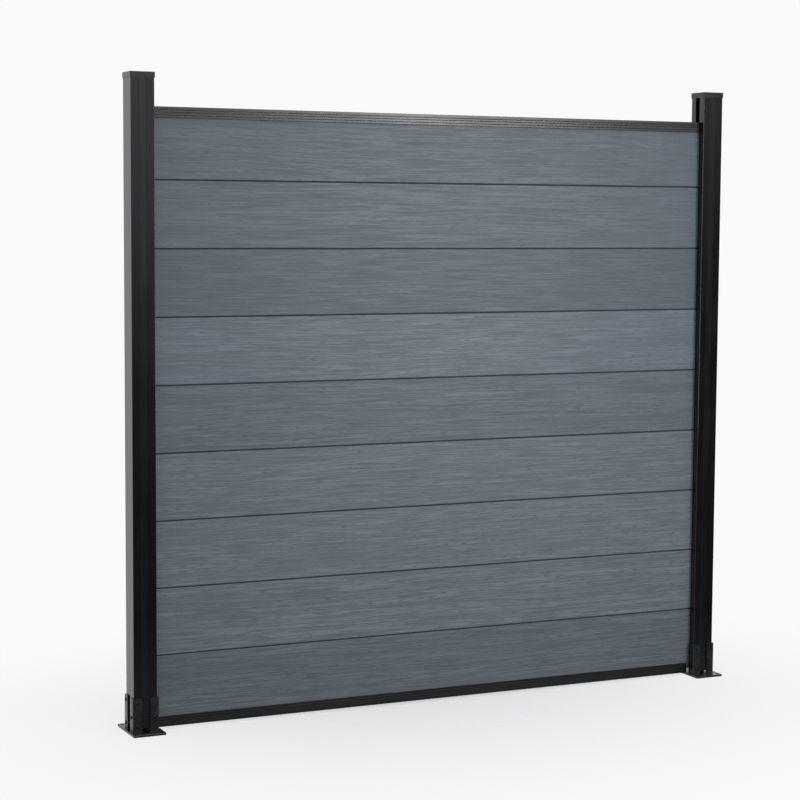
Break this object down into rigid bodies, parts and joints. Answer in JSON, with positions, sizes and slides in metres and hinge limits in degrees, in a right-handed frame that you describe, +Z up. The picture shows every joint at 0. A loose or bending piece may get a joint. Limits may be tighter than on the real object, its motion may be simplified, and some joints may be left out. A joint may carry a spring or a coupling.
{
  "type": "composite fence panel",
  "caption": "Fence panel of stacked grey composite boards held in the slots of two black aluminium posts, with top and bottom rails, post caps and bolt-down steel bases.",
  "frame": {"origin": "on the ground, midway between the posts and in the middle of the boards' thickness", "axes": "+X along the panel to the right post, +Y from front to back, +Z up"},
  "size_m": [1.994, 0.158, 1.8825],
  "materials": {
    "post_coat": "black satin powder coat on extruded aluminium",
    "rail_coat": "black satin powder coat on extruded aluminium",
    "base_coat": "black powder coat on welded steel",
    "screw_coat": "black coated steel",
    "cap_plastic": "moulded black plastic with a fine grain",
    "board_composite": "slate-grey wood composite, embossed with wood grain",
    "stop_nylon": "natural white nylon"
  },
  "bodies": {
    "frame": {"left_post": "post_coat", "right_post": "post_coat", "left_front_strip": "post_coat", "left_rear_strip": "post_coat", "left_outer_strip": "post_coat", "right_front_strip": "post_coat", "right_rear_strip": "post_coat", "right_outer_strip": "post_coat", "left_base_plate": "base_coat", "right_base_plate": "base_coat", "left_base_angle_1": "base_coat", "left_base_angle_2": "base_coat", "left_base_angle_3": "base_coat", "left_base_angle_4": "base_coat", "right_base_angle_1": "base_coat", "right_base_angle_2": "base_coat", "right_base_angle_3": "base_coat", "right_base_angle_4": "base_coat", "left_base_screws": "screw_coat", "right_base_screws": "screw_coat", "left_board_stop": "stop_nylon", "right_board_stop": "stop_nylon"},
    "infill": {"bottom_rail": "rail_coat", "board_1": "board_composite", "board_2": "board_composite", "board_3": "board_composite", "board_4": "board_composite", "board_5": "board_composite", "board_6": "board_composite", "board_7": "board_composite", "board_8": "board_composite", "board_9": "board_composite"},
    "top_rail": {"top_rail": "rail_coat"},
    "left_cap": {"left_post_cap": "cap_plastic"},
    "right_cap": {"right_post_cap": "cap_plastic"}
  },
  "joints": [
    {"name": "infill_lift", "type": "slide", "parent": "frame", "child": "infill", "axis": [0, 0, 1], "range_m": [0, 0.077]},
    {"name": "top_rail_lift", "type": "slide", "parent": "infill", "child": "top_rail", "axis": [0, 0, 1], "range_m": [0, 0.04]},
    {"name": "left_cap_lift", "type": "slide", "parent": "frame", "child": "left_cap", "axis": [0, 0, 1], "range_m": [0, 0.05]},
    {"name": "right_cap_lift", "type": "slide", "parent": "frame", "child": "right_cap", "axis": [0, 0, 1], "range_m": [0, 0.05]}
  ]
}
